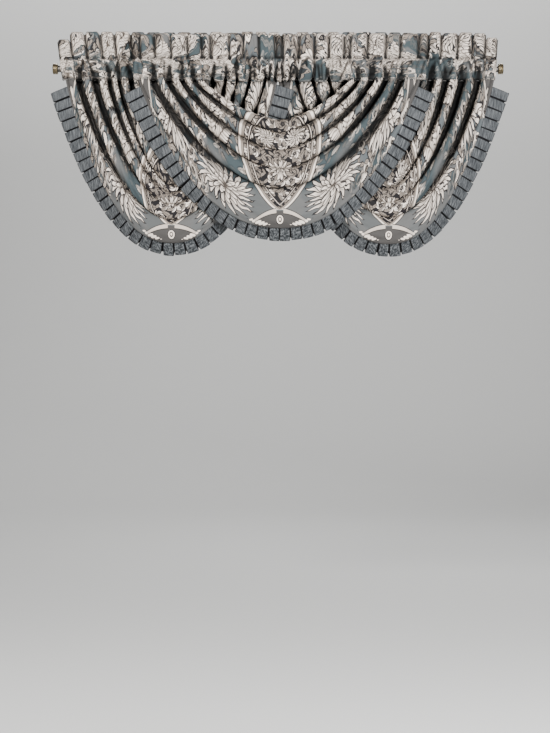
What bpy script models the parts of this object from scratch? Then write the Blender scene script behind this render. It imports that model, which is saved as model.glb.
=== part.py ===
"""Three waterfall valances on a double curtain rod: a back rod with ribbed brass caps carries the
left and right valances, a shorter front rod carries the middle one. Each valance is a gathered
heading with a ruffle and a rod pocket, a draped body hanging in U-shaped folds, and a knife-pleated
trim along the hem. Metres, +Z up, the front faces -Y, the origin lies on the back rod's axis."""
import random
from math import pi

import bmesh
import bpy
import numpy as np

MM = 0.001
SHEET = 2.0 * MM

# Rods and caps
ROD_RADIUS = 12.5 * MM
ROD_SIDES = 24
BACK_ROD_HALF = 892.0 * MM
CAP_INNER = 880.0 * MM
CAP_OUTER = 900.0 * MM
CAP_RADIUS = 22.0 * MM
CAP_SIDES = 20
CAP_RIBS = 3
CAP_GROOVE = 2.2 * MM
GROOVE_SHARE = 0.06
SOCKET_GAP = 0.4 * MM
FRONT_ROD_FORWARD = 65.0 * MM
FRONT_ROD_Z = -20.0 * MM
FRONT_ROD_ENDS = (-572.0 * MM, 586.0 * MM)

# How the drape is worked out from its fold lines
HALF_STATIONS = 12
STEPS_A_FLANK = 2
RUN_SAMPLES = 241
ROUNDING = 0.55
FORWARD_POWER = 1.9
TOP_POWERS = (1.35, 1.66)
HEM_POWERS = (0.90, 1.83)
LOW_FLANK_SAG = 0.30

# Headings, in millimetres; shares run from 0 at the stitch line to 1 at the top edge
SLIT_SHOULDER = 0.19
NARROW_COLUMN = 40.0
NARROW_LOWER = 2.5
FULL_COLUMN = 62.0
COLUMN_PUFFS = (0.85, 1.12)
SHOULDER_PUFFS = (0.9, 1.1)
COLUMN_HEIGHTS = (-2.0, 1.0)
END_COLUMN_REACH = 0.95
PUFF = 11.0
SCALLOP = 7.0
RUFFLE_FOOT = 0.28
RUFFLE_FOOT_PUFF = 0.85
RUFFLE_SHOULDER = 0.93
STITCH_PUFF = 0.25
POCKET_BULGE = 21.0
POCKET_CRUMPLE = 2.5
STITCH_HALF_GAP = 5.5
LIP_HALF_GAP = 3.8
SEAM_HALF_GAP = 3.2
SEAM_FOLD_SHARE = 0.55
SEAM_CLEARANCE = 2.0

# Trims
PLEAT_PITCH = 42.5 * MM
PLEAT_STEP = 3.6 * MM
PLEAT_PROUD = (1.2 * MM, 4.6 * MM)
PLEAT_DRIFT = 0.05
PLEAT_UNEVEN = 1.5 * MM
PLEAT_TURN = 0.03
TRIM_GAP = 3.6 * MM
TRIM_START = 24.0 * MM
TRIM_WIDTH = (70.0 * MM, 77.0 * MM)
LOW_TILT = 0.84
TRIM_TILT_POWER = 1.3
END_DROOP = 0.12
END_PLEATS = 4

# Fold lines from the rolled top edge out to the hem, all in millimetres. reach: distance from the
# valance's centre line at the seam. drop: depth below the seam on the centre line. front: how far
# the cloth stands forward of the back rod's axis at the seam, and on the centre line.
FOLD_COLUMNS = ("kind", "left_reach", "left_front", "drop", "low_front", "right_reach", "right_front")
CENTRE_FOLDS = (
    ("edge", 304.0, 50.0, 175.0, 91.0, 273.0, 50.0),
    ("roll", 302.0, 62.0, 163.0, 101.0, 271.0, 62.0),
    ("ridge", 317.0, 83.0, 180.0, 117.0, 286.0, 84.0),
    ("valley", 343.0, 55.0, 207.0, 101.0, 308.0, 52.0),
    ("ridge", 363.0, 81.0, 250.0, 127.0, 334.0, 83.0),
    ("valley", 389.0, 46.0, 277.0, 110.0, 362.0, 48.0),
    ("ridge", 414.0, 84.0, 322.0, 135.0, 391.0, 81.0),
    ("valley", 442.0, 45.0, 352.0, 115.0, 417.0, 46.0),
    ("ridge", 471.0, 86.0, 398.0, 140.0, 448.0, 83.0),
    ("valley", 504.0, 47.0, 426.0, 117.0, 476.0, 45.0),
    ("ridge", 534.0, 80.0, 500.0, 133.0, 515.0, 80.0),
    ("hem", 562.0, 66.0, 590.0, 103.0, 556.0, 66.0),
)
LEFT_FOLDS = (
    ("edge", 127.0, -12.0, 285.0, -2.0, 125.0, -8.0),
    ("roll", 126.0, -2.0, 272.0, 8.0, 124.0, 2.0),
    ("ridge", 142.0, 20.0, 292.0, 24.0, 141.0, 23.0),
    ("valley", 162.0, -29.0, 322.0, 6.0, 164.0, -24.0),
    ("ridge", 190.0, 19.0, 386.0, 33.0, 192.0, 24.0),
    ("valley", 212.0, -27.0, 412.0, 6.0, 216.0, -25.0),
    ("ridge", 232.0, 12.0, 432.0, 17.0, 240.0, 21.0),
    ("valley", 248.0, -29.0, 446.0, 8.0, 262.0, -24.0),
    ("ridge", 278.0, 21.0, 472.0, 37.0, 286.0, 24.0),
    ("valley", 308.0, -32.0, 484.0, 9.0, 312.0, -23.0),
    ("ridge", 340.0, 22.0, 528.0, 40.0, 342.0, 23.0),
    ("valley", 372.0, -30.0, 544.0, 7.0, 374.0, -19.0),
    ("ridge", 400.0, 15.0, 590.0, 34.0, 400.0, 21.0),
    ("hem", 425.0, 2.0, 652.0, 10.0, 424.0, 16.0),
)
RIGHT_FOLDS = (
    ("edge", 132.0, -18.0, 287.0, -2.0, 127.0, -12.0),
    ("roll", 131.0, -8.0, 274.0, 8.0, 126.0, -2.0),
    ("ridge", 148.0, 16.0, 296.0, 24.0, 144.0, 19.0),
    ("valley", 172.0, -32.0, 328.0, 6.0, 168.0, -29.0),
    ("ridge", 206.0, 17.0, 392.0, 33.0, 200.0, 20.0),
    ("valley", 238.0, -33.0, 424.0, 7.0, 230.0, -30.0),
    ("ridge", 268.0, 14.0, 462.0, 37.0, 264.0, 22.0),
    ("valley", 302.0, -36.0, 480.0, 8.0, 296.0, -31.0),
    ("ridge", 334.0, 6.0, 516.0, 39.0, 330.0, 21.0),
    ("valley", 366.0, -38.0, 534.0, 5.0, 360.0, -30.0),
    ("ridge", 398.0, -10.0, 588.0, 33.0, 392.0, 15.0),
    ("hem", 427.0, -20.0, 656.0, 10.0, 424.0, 2.0),
)

# Widths of the header's gathered columns in millimetres, left to right
CENTRE_COLUMNS = (34, 59, 66, 67, 56, 38, 74, 58, 61, 68, 27, 67, 63, 58, 62, 24, 70, 74, 58, 74, 38)
LEFT_COLUMNS = (54, 60, 62, 56, 66, 60, 66, 58, 62, 68, 60, 64, 58, 52, 52)
RIGHT_COLUMNS = (56, 60, 64, 58, 62, 66, 60, 54, 52, 56, 52, 67, 58, 51, 49)

# One row a valance, in millimetres: its centre line, the rod it hangs on, its levels, where the
# heading ends at the top and at the seam, how much lower the end columns stand, and how far the
# trim's free ends tilt back, in radians.
VALANCES = {
    "centre": {
        "centre": 8.0,
        "rod_front": 65.0,
        "rod_z": -20.0,
        "seam_z": -55.0,
        "stitch_z": 31.0,
        "top_z": 130.0,
        "top_ends": (-585.0, 600.0),
        "seam_ends": (-570.0, 584.0),
        "end_drops": (10.0, 10.0),
        "end_tilts": (0.20, 0.20),
        "folds": CENTRE_FOLDS,
        "columns": CENTRE_COLUMNS,
        "seed": 11,
    },
    "left": {
        "centre": -424.0,
        "rod_front": 0.0,
        "rod_z": 0.0,
        "seam_z": -45.0,
        "stitch_z": 42.0,
        "top_z": 148.0,
        "top_ends": (-888.0, 10.0),
        "seam_ends": (-862.0, 10.0),
        "end_drops": (30.0, 4.0),
        "end_tilts": (0.20, -0.15),
        "folds": LEFT_FOLDS,
        "columns": LEFT_COLUMNS,
        "seed": 12,
    },
    "right": {
        "centre": 440.0,
        "rod_front": 0.0,
        "rod_z": 0.0,
        "seam_z": -45.0,
        "stitch_z": 42.0,
        "top_z": 147.0,
        "top_ends": (12.0, 882.0),
        "seam_ends": (12.0, 868.0),
        "end_drops": (4.0, 20.0),
        "end_tilts": (0.25, 0.20),
        "folds": RIGHT_FOLDS,
        "columns": RIGHT_COLUMNS,
        "seed": 13,
    },
}

# Colours: base colour, roughness, metallic
LOOKS = {
    "damask": ((0.30, 0.29, 0.27, 1.0), 0.62, 0.0),
    "trim_weave": ((0.13, 0.15, 0.17, 1.0), 0.80, 0.0),
    "brass": ((0.28, 0.21, 0.11, 1.0), 0.38, 1.0),
    "dark_steel": ((0.09, 0.08, 0.07, 1.0), 0.45, 1.0),
}


def clear_scene():
    for old in list(bpy.data.objects):
        bpy.data.objects.remove(old, do_unlink=True)


def look(name):
    material = bpy.data.materials.get(name)
    if material is None:
        colour, roughness, metallic = LOOKS[name]
        material = bpy.data.materials.new(name)
        material.use_nodes = True
        shader = material.node_tree.nodes["Principled BSDF"]
        shader.inputs["Base Color"].default_value = colour
        shader.inputs["Roughness"].default_value = roughness
        shader.inputs["Metallic"].default_value = metallic
        material.diffuse_color = colour
    return material


def add_object(name, mesh, collection, look_name):
    part = bpy.data.objects.new(name, mesh)
    collection.objects.link(part)
    part.data.materials.append(look(look_name))
    for face in part.data.polygons:
        face.use_smooth = True
    return part


def sheet_from(name, points, collection, look_name):
    """A sheet through a (rows, columns, 3) array of points, thickened both ways."""
    rows, columns = points.shape[:2]
    bm = bmesh.new()
    bmesh.ops.create_grid(bm, x_segments=columns - 1, y_segments=rows - 1, size=1.0)
    for vertex in bm.verts:
        column = round((vertex.co.x + 1.0) * 0.5 * (columns - 1))
        row = round((vertex.co.y + 1.0) * 0.5 * (rows - 1))
        vertex.co = points[row, column]
    mesh = bpy.data.meshes.new(name)
    bm.to_mesh(mesh)
    bm.free()
    part = add_object(name, mesh, collection, look_name)
    thicken = part.modifiers.new("Thickness", "SOLIDIFY")
    thicken.thickness = SHEET
    thicken.offset = 0.0
    return part


def half_line(reach, front, drop, low_front, powers, stations):
    """One half of a hanging fold line, from the seam to the centre line, at equal shares of its run."""
    angle = np.linspace(0.0, pi / 2, RUN_SAMPLES)
    across = reach * np.cos(angle) ** powers[0]
    down = drop * np.sin(angle) ** powers[1]
    forward = front + (low_front - front) * np.sin(angle) ** FORWARD_POWER
    run = np.concatenate([[0.0], np.cumsum(np.hypot(np.diff(across), np.diff(down)))])
    share = run / run[-1]
    columns = [np.interp(stations, share, values) for values in (across, forward, down)]
    return np.stack(columns, axis=-1)


def fold_lines(valance, stations):
    """All fold lines of one drape as points (across, forward, up) in millimetres."""
    drops = [row[FOLD_COLUMNS.index("drop")] for row in valance["folds"]]
    lines = []
    for row in valance["folds"]:
        fold = dict(zip(FOLD_COLUMNS, row))
        outward = (fold["drop"] - min(drops)) / (max(drops) - min(drops))
        powers = [top + (hem - top) * outward for top, hem in zip(TOP_POWERS, HEM_POWERS)]
        halves = []
        for side, sign in (("left", -1.0), ("right", 1.0)):
            half = half_line(
                fold[side + "_reach"], fold[side + "_front"], fold["drop"], fold["low_front"], powers, stations
            )
            half[:, 0] = valance["centre"] + sign * half[:, 0]
            half[:, 2] = valance["seam_z"] - half[:, 2]
            halves.append(half)
        lines.append(np.concatenate([halves[0], halves[1][-2::-1]]))
    return lines


def flank(start, end, start_kind, end_kind, steps):
    """Rows of points between two fold lines, round on the ridge and tight in the valley."""
    opens = start_kind in ("valley", "edge", "roll")
    rows = []
    for step in range(1, steps + 1):
        share = step / steps
        part = share if opens else 1.0 - share
        along = (1.0 - ROUNDING) * part + ROUNDING * (1.0 - np.cos(part * pi / 2))
        rise = np.sin(part * pi / 2)
        if not opens:
            along = 1.0 - along
            rise = 1.0 - rise
        row = start + (end - start) * along
        row[:, 1] = start[:, 1] + (end[:, 1] - start[:, 1]) * rise
        if start_kind == "ridge" and end_kind == "valley":
            fall = np.clip(start[:, 1] - end[:, 1], 0.0, None)
            lowness = np.linspace(0.0, pi, len(row))
            row[:, 2] -= LOW_FLANK_SAG * fall * np.sin(share * pi) * np.sin(lowness) ** 2
        rows.append(row)
    return rows


def drape(valance):
    """The draped body as a (rows, columns, 3) array in millimetres, top edge first, hem last."""
    lines = fold_lines(valance, np.linspace(0.0, 1.0, HALF_STATIONS + 1))
    kinds = [row[0] for row in valance["folds"]]
    rows = [lines[0]]
    for index in range(len(lines) - 1):
        steps = 1 if kinds[index] == "edge" else STEPS_A_FLANK
        rows += flank(lines[index], lines[index + 1], kinds[index], kinds[index + 1], steps)
    return np.array(rows)


def to_metres(points):
    """(across, forward, up) in millimetres to x, y, z in metres."""
    return np.stack([points[..., 0], -points[..., 1], points[..., 2]], axis=-1) * MM


def column_stations(widths, chance):
    """Slits and shoulders of the gathered columns: place in millimetres, puff, scallop, crumple."""
    stations = []
    place = 0.0
    for width in widths:
        fullness = min(1.0, width / FULL_COLUMN) * chance.uniform(*COLUMN_PUFFS)
        height = chance.uniform(*COLUMN_HEIGHTS) - (NARROW_LOWER if width < NARROW_COLUMN else 0.0)
        stations.append((place, 0.0, -SCALLOP, chance.uniform(-1.0, 0.0)))
        shoulders = (0.5,) if width < NARROW_COLUMN else (SLIT_SHOULDER, 1.0 - SLIT_SHOULDER)
        for shoulder in shoulders:
            puff = fullness * chance.uniform(*SHOULDER_PUFFS)
            stations.append((place + shoulder * width, puff, height, chance.uniform(0.2, 1.0)))
        place += width
    stations.append((place, 0.0, -SCALLOP, 0.0))
    return np.array(stations)


def heading(valance, top_row):
    """The folded heading strip: up the front, over the top and down the back, in millimetres."""
    chance = random.Random(valance["seed"])
    stations = column_stations(valance["columns"], chance)
    share = stations[:, 0] / stations[-1, 0]
    puff, scallop, crumple = stations[:, 1] * PUFF, stations[:, 2], stations[:, 3]
    for end, drop in zip((0, -1), valance["end_drops"]):
        edge = 0.0 if end == 0 else 1.0
        width = valance["columns"][end] / stations[-1, 0]
        near = np.abs(share - edge) < width * END_COLUMN_REACH
        scallop = np.where(near, scallop - drop, scallop)
    seam_x = valance["seam_ends"][0] + share * (valance["seam_ends"][1] - valance["seam_ends"][0])
    order = np.argsort(top_row[:, 0])
    seam_front = np.interp(seam_x, top_row[order, 0], top_row[order, 1])
    seam_front = valance["rod_front"] + SEAM_FOLD_SHARE * (seam_front - valance["rod_front"])
    height = valance["top_z"] - valance["stitch_z"]
    rod, rod_z, stitch = valance["rod_front"], valance["rod_z"], valance["stitch_z"]
    flat = np.zeros_like(share)
    foot = stitch + RUFFLE_FOOT * (height + scallop)
    shoulder = stitch + RUFFLE_SHOULDER * (height + scallop)
    stitch_gap = STITCH_HALF_GAP + STITCH_PUFF * puff
    lip_gap = LIP_HALF_GAP + puff
    pocket_gap = POCKET_BULGE + POCKET_CRUMPLE * crumple
    # Height and forward distance of each line, up the front and down the back
    rows = (
        (valance["seam_z"] + flat, seam_front + SEAM_HALF_GAP),
        (rod_z + flat, rod + pocket_gap),
        (stitch + flat, rod + stitch_gap),
        (foot, rod + LIP_HALF_GAP + RUFFLE_FOOT_PUFF * puff),
        (shoulder, rod + lip_gap),
        (stitch + height + scallop, rod + flat),
        (shoulder, rod - lip_gap),
        (stitch + flat, rod - stitch_gap),
        (rod_z + flat, rod - pocket_gap),
        (valance["seam_z"] + flat, seam_front - SEAM_HALF_GAP),
    )
    points = []
    for up, front in rows:
        rise = (up - valance["seam_z"]) / (valance["top_z"] - valance["seam_z"])
        starts = valance["seam_ends"][0] + rise * (valance["top_ends"][0] - valance["seam_ends"][0])
        ends = valance["seam_ends"][1] + rise * (valance["top_ends"][1] - valance["seam_ends"][1])
        points.append(np.stack([starts + share * (ends - starts), front, up], axis=-1))
    return np.array(points)


def trim(valance, hem):
    """The knife-pleated strip that carries the body's surface on past the hem, in metres."""
    chance = random.Random(valance["seed"] + 100)
    run = np.concatenate([[0.0], np.cumsum(np.linalg.norm(np.diff(hem, axis=0), axis=1))])
    tangent = np.gradient(hem, run, axis=0)
    outward = np.stack([tangent[:, 2], np.zeros(len(hem)), -tangent[:, 0]], axis=-1)
    outward *= -np.sign(outward[len(hem) // 2, 2])
    outward /= np.linalg.norm(outward, axis=1)[:, None]
    pleats = round((run[-1] - 2 * TRIM_START) / PLEAT_PITCH)
    pitch = (run[-1] - 2 * TRIM_START) / pleats
    top_edge, low_edge = [], []
    for index in range(pleats):
        start = TRIM_START + pitch * index
        begin = start + (chance.uniform(-PLEAT_DRIFT, PLEAT_DRIFT) * pitch if index else 0.0)
        width_change = chance.uniform(-PLEAT_UNEVEN, PLEAT_UNEVEN)
        tilt_change = chance.uniform(-PLEAT_TURN, PLEAT_TURN)
        for place, proud in ((begin + 0.5 * PLEAT_STEP, 1.0), (start + pitch - 0.5 * PLEAT_STEP, 0.0)):
            point = np.array([np.interp(place, run, hem[:, axis]) for axis in range(3)])
            out = np.array([np.interp(place, run, outward[:, axis]) for axis in range(3)])
            lowness = np.sin(pi * place / run[-1]) ** TRIM_TILT_POWER
            end = max(0.0, 1.0 - min(place, run[-1] - place) / (END_PLEATS * pitch))
            out = out + np.array([0.0, 0.0, -END_DROOP * end])
            out /= np.linalg.norm(out)
            end_tilt = valance["end_tilts"][0 if place < run[-1] / 2 else 1]
            tilt = end_tilt + (LOW_TILT - end_tilt) * lowness + tilt_change
            width = TRIM_WIDTH[0] + (TRIM_WIDTH[1] - TRIM_WIDTH[0]) * end + width_change
            down = out * np.cos(tilt) + np.array([0.0, np.sin(tilt), 0.0])
            toward = np.array([0.0, -np.cos(tilt), 0.0]) + out * np.sin(tilt)
            first = point + out * TRIM_GAP
            top_edge.append(first + toward * proud * PLEAT_PROUD[0])
            low_edge.append(first + down * width + toward * proud * PLEAT_PROUD[1])
    return np.array([top_edge, low_edge])


def add_rod(name, start, end, forward, up, collection):
    mesh = bpy.data.meshes.new(name)
    bm = bmesh.new()
    bmesh.ops.create_cone(
        bm, cap_ends=True, segments=ROD_SIDES, radius1=ROD_RADIUS, radius2=ROD_RADIUS, depth=end - start
    )
    bm.to_mesh(mesh)
    bm.free()
    rod = add_object(name, mesh, collection, "dark_steel")
    rod.rotation_euler = (0.0, pi / 2, 0.0)
    rod.location = ((start + end) / 2, -forward, up)
    return rod


def add_cap(name, side, collection):
    """A ribbed end cap with a socket for the rod, turned about the rod's axis."""
    length = CAP_OUTER - CAP_INNER
    socket = ROD_RADIUS + SOCKET_GAP
    socket_floor = BACK_ROD_HALF + SOCKET_GAP - CAP_INNER
    waist = CAP_RADIUS - CAP_GROOVE
    rib = length / CAP_RIBS
    # Radius and height, from the middle of the outer face down the ribs and back up the socket
    profile = [(0.0, length), (waist, length), (CAP_RADIUS, length - 0.5 * rib)]
    for index in range(1, CAP_RIBS):
        profile.append((waist, length - (index + GROOVE_SHARE) * rib))
        profile.append((CAP_RADIUS, length - (index + 0.5) * rib))
    profile += [(waist, 0.0), (socket, 0.0), (socket, socket_floor), (0.0, socket_floor)]
    mesh = bpy.data.meshes.new(name)
    bm = bmesh.new()
    points = [bm.verts.new((radius, 0.0, height)) for radius, height in profile]
    for first, second in zip(points, points[1:]):
        bm.edges.new((first, second))
    bm.to_mesh(mesh)
    bm.free()
    cap = add_object(name, mesh, collection, "brass")
    turn = cap.modifiers.new("Turn", "SCREW")
    turn.steps = CAP_SIDES
    turn.render_steps = CAP_SIDES
    turn.use_merge_vertices = True
    turn.merge_threshold = 0.00005
    cap.rotation_euler = (0.0, side * pi / 2, 0.0)
    cap.location = (side * CAP_INNER, 0.0, 0.0)
    return cap


def build():
    clear_scene()
    collection = bpy.data.collections.new("waterfall_valance_set")
    bpy.context.scene.collection.children.link(collection)
    add_rod("rod_back", -BACK_ROD_HALF, BACK_ROD_HALF, 0.0, 0.0, collection)
    add_rod("rod_front", *FRONT_ROD_ENDS, FRONT_ROD_FORWARD, FRONT_ROD_Z, collection)
    add_cap("cap_left", -1.0, collection)
    add_cap("cap_right", 1.0, collection)
    for name, valance in VALANCES.items():
        body = drape(valance)
        top_row = np.concatenate([body[:, 0], body[:, -1]])
        strip = heading(valance, top_row)
        lowered = body - np.array([0.0, 0.0, SEAM_CLEARANCE])
        body_points = to_metres(lowered)
        sheet_from("heading_" + name, to_metres(strip), collection, "damask")
        sheet_from("swag_" + name, body_points, collection, "damask")
        sheet_from("trim_" + name, trim(valance, body_points[-1]), collection, "trim_weave")


build()
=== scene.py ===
"""Looks of three waterfall valances on a double curtain rod: draped damask bodies, gathered
headings, knife-pleated trims and ribbed brass caps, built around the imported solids."""

import random
from math import cos, pi, radians, sin

import bmesh
import bpy
import numpy as np
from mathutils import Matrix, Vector


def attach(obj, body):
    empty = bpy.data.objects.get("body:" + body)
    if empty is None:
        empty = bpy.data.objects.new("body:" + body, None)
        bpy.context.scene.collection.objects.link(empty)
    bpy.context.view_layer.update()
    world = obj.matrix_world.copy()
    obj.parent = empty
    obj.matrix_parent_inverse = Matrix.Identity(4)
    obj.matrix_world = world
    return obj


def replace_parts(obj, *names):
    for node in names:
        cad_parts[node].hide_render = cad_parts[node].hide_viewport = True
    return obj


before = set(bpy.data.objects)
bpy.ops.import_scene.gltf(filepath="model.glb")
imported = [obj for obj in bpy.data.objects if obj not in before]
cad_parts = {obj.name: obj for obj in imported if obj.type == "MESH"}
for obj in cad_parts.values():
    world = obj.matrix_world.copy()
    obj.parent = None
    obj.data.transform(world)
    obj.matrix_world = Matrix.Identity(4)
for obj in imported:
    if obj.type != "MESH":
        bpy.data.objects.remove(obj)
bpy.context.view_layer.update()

MM = 0.001
PER_METRE = 1000.0

# The photograph: 550 by 733 pixels, at four millimetres a pixel in the plane of the back rod
IMAGE_WIDTH, IMAGE_HEIGHT = 550, 733
PIXEL = 0.004
ROD_MIDDLE_PIXEL = (278.0, 69.0)
CAMERA_DISTANCE = 7.0
SENSOR = 36.0
FLOOR_Z = -2.3
SWEEP_START = 6.5
SWEEP_RADIUS = 3.0

# Cloth colours, and the pattern's half width and height in millimetres
GREY = (0.122, 0.122, 0.120)
TEAL = (0.052, 0.069, 0.075)
BLUE_GREY = (0.098, 0.111, 0.117)
TAUPE_GREY = (0.072, 0.068, 0.065)
CHARCOAL = (0.015, 0.014, 0.015)
TAUPE = (0.076, 0.062, 0.052)
BEIGE = (0.26, 0.220, 0.185)
CREAM = (0.91, 0.805, 0.705)
PATTERN_REPEAT = (400.0, 620.0)
# Painted shade: the near black that folds, slits and the stitched crease are darkened towards
DEEP_SHADE = (0.004, 0.004, 0.004)
TRIM_DARK, TRIM_LIGHT = (0.022, 0.025, 0.028), (0.140, 0.148, 0.155)
# Painted shade in the trim's grooves
TRIM_SHADE = (0.005, 0.005, 0.006)
REVERSE_GROUND, REVERSE_FIGURE = (0.145, 0.138, 0.129), (0.098, 0.096, 0.094)
REVERSE_THREAD = (0.08, 0.078, 0.075)

# Feathery leaves of the pattern: foot, turn, length and half width, barbs to a side
FEATHERS = (
    ((300, 280), 2.2, (150, 34), 11),
    ((310, 290), 1.2, (150, 34), 11),
    ((250, 430), 0.4, (140, 32), 10),
    ((240, 440), 1.7, (150, 34), 11),
    ((390, 520), 2.6, (150, 34), 11),
    ((0, 250), 1.2, (90, 24), 7),
)

# Flowers of the pattern: middle, half sizes, turn, swirl, and rings of size, petals and phase
WIDE_RINGS = ((1, 21, 0), (0.76, 17, 0.4), (0.50, 11, 0.2), (0.27, 7, 0.6))
SMALL_RINGS = ((1, 15, 0), (0.62, 11, 0.4), (0.32, 7, 0.2))
FLOWERS = (
    ((230, 96), (150, 84), -0.10, 0.5, WIDE_RINGS),
    ((0, 300), (56, 66), 0, 0, SMALL_RINGS),
    ((320, 400), (86, 62), 0.6, -0.6, SMALL_RINGS),
    ((60, 480), (46, 42), 0.2, 0.8, SMALL_RINGS),
)

# Cloth thickness
BODY_CLOTH = 1.3 * MM
TRIM_CLOTH = 1.1 * MM

# Draped bodies
HALF_STATIONS = 104
FLANK_STEPS = 13
EDGE_STEPS = 4
ROUNDING = 0.62
STEEPNESS = 0.97
FORWARD_POWER = 1.9
TOP_POWERS = (1.35, 1.66)
HEM_POWERS = (0.90, 1.83)
LOW_FLANK_SAG = 0.42
LIP_POWER = 3.2
TUCK = 7.0
GAP_FORWARD = 24.0
GAP_DEPTH = 165.0
GAP_HALF_WIDTH = 262.0
# GAP_SHADE narrows the painted valley shade where the gathers show in the cowl's opening
GAP_SHADE = 2.6
WANDER = 3.0
GATHER_DEPTH = 2.6
GATHER_FADE = 85.0
RIPPLE_DEPTH = 1.3
CREASE_DEPTH = 1.6

# Headings
PROFILE_STEPS = 5
SLIT_SHOULDER = 0.20
NARROW_COLUMN = 40.0
FULL_COLUMN = 62.0
PUFF = 15.0
SCALLOP = 13.0
POCKET_BULGE = 22.0
POCKET_CRUMPLE = 2.5
STITCH_HALF_GAP = 3.5
LIP_HALF_GAP = 1.5
SEAM_HALF_GAP = 1.9

# The ruffle's front, from the stitching up: share of its height, and of its puff
RUFFLE_FRONT = ((0.12, 0.62), (0.34, 0.9), (0.70, 0.97), (0.93, 0.88))
SEAM_FOLD_SHARE = 0.9
ROD_CLEARANCE = 15.0

# Rod pockets over the open cowls, in millimetres: where they begin, their lower edge and its notches
MOUTH_EASE = 14.0
MOUTH_FADE = 22.0
MOUTH_SET_BACK = 6.0
MOUTH_DIP = 6.0
NOTCH_HEIGHT = 26.0
NOTCH_HALF_WIDTH = 10.0
FRONT_SLITS = (-36.0, -12.0, 22.0, 46.0)
BACK_SLITS = (-90.0, -45.0, 0.0, 45.0, 90.0)
SLIT_DEPTH, SLIT_WIDTH = 15.0, 6.5
VALLEY_DEPTH, VALLEY_WIDTH = 15.0, 8.5
RIDGE_HEIGHT, RIDGE_WIDTH = 3.5, 11.0

# Trims: the face of a pleat and the groove between two, as shares of the pitch and of the lift
PLEAT_PITCH = 42.5 * MM
PLEAT_LIFT = (1.2 * MM, 4.6 * MM)
GROOVE_DEPTH = (5.0 * MM, 11.0 * MM)
PLEAT_FACE = (
    (0.020, -1.0), (0.048, -0.3), (0.068, 0.50), (0.100, 0.80), (0.25, 0.88), (0.50, 0.94),
    (0.75, 1.0), (0.885, 1.0), (0.915, 0.70), (0.935, -0.3), (0.975, -1.0),
)
TRIM_ROWS = 12
TRIM_GAP = -2.5 * MM
TRIM_BEHIND = 1.6 * MM
TRIM_START = 24.0 * MM
TRIM_WIDTH = (70.0 * MM, 77.0 * MM)
LOW_TILT = 0.84
TRIM_TILT_POWER = 1.3
END_DROOP = 0.12

# Caps
CAP_INNER = 880.0 * MM
CAP_OUTER = 900.0 * MM
CAP_RADIUS = 22.0 * MM
CAP_GROOVE = 4.0 * MM
CAP_RIBS = 4
CAP_SIDES = 72
ROD_RADIUS = 12.5 * MM
SOCKET_GAP = 0.4 * MM
ROD_END = 892.0 * MM

# Fold lines from the rolled top edge out to the hem, in millimetres, a little deeper than the solids'
FOLD_COLUMNS = ("kind", "left_reach", "left_front", "drop", "low_front", "right_reach", "right_front")
CENTRE_FOLDS = (
    ("edge", 304, 50, 175, 91, 273, 50),
    ("roll", 302, 62, 163, 101, 271, 62),
    ("ridge", 317, 91, 180, 120, 286, 92),
    ("valley", 343, 46, 207, 93, 308, 43),
    ("ridge", 363, 89, 250, 130, 334, 91),
    ("valley", 389, 37, 277, 102, 362, 39),
    ("ridge", 414, 92, 322, 138, 391, 89),
    ("valley", 442, 36, 352, 107, 417, 37),
    ("ridge", 471, 94, 398, 143, 448, 91),
    ("valley", 504, 38, 426, 109, 476, 36),
    ("ridge", 534, 88, 500, 136, 515, 88),
    ("hem", 562, 66, 590, 103, 556, 66),
)
LEFT_FOLDS = (
    ("edge", 127, -12, 285, -2, 125, -8),
    ("roll", 126, -2, 272, 8, 124, 2),
    ("ridge", 142, 21, 292, 27, 141, 24),
    ("valley", 162, -37, 322, -8, 164, -32),
    ("ridge", 190, 20, 386, 36, 192, 25),
    ("valley", 212, -35, 412, -8, 216, -33),
    ("ridge", 232, 13, 432, 20, 240, 22),
    ("valley", 248, -37, 446, -6, 262, -32),
    ("ridge", 278, 22, 472, 40, 286, 25),
    ("valley", 308, -40, 484, -5, 312, -31),
    ("ridge", 340, 23, 528, 43, 342, 24),
    ("valley", 372, -38, 544, -7, 374, -27),
    ("ridge", 400, 16, 590, 37, 400, 22),
    ("hem", 425, 2, 652, 10, 424, 16),
)
RIGHT_FOLDS = (
    ("edge", 132, -18, 287, -2, 127, -12),
    ("roll", 131, -8, 274, 8, 126, -2),
    ("ridge", 148, 17, 296, 27, 144, 20),
    ("valley", 172, -38, 328, -8, 168, -35),
    ("ridge", 206, 18, 392, 36, 200, 21),
    ("valley", 238, -39, 424, -7, 230, -36),
    ("ridge", 268, 15, 462, 40, 264, 23),
    ("valley", 302, -42, 480, -6, 296, -37),
    ("ridge", 334, 7, 516, 42, 330, 22),
    ("valley", 366, -44, 534, -9, 360, -36),
    ("ridge", 404, -9, 588, 36, 392, 16),
    ("hem", 440, -20, 656, 10, 424, 2),
)

# Widths of the header's gathered columns in millimetres, left to right
CENTRE_COLUMNS = (34, 59, 66, 67, 56, 38, 74, 58, 61, 68, 27, 67, 63, 58, 62, 24, 70, 74, 58, 74, 38)
LEFT_COLUMNS = (54, 60, 62, 56, 66, 60, 66, 58, 62, 68, 60, 64, 58, 52, 52)
RIGHT_COLUMNS = (56, 60, 64, 58, 62, 66, 60, 54, 52, 56, 52, 67, 58, 51, 49)

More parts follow.
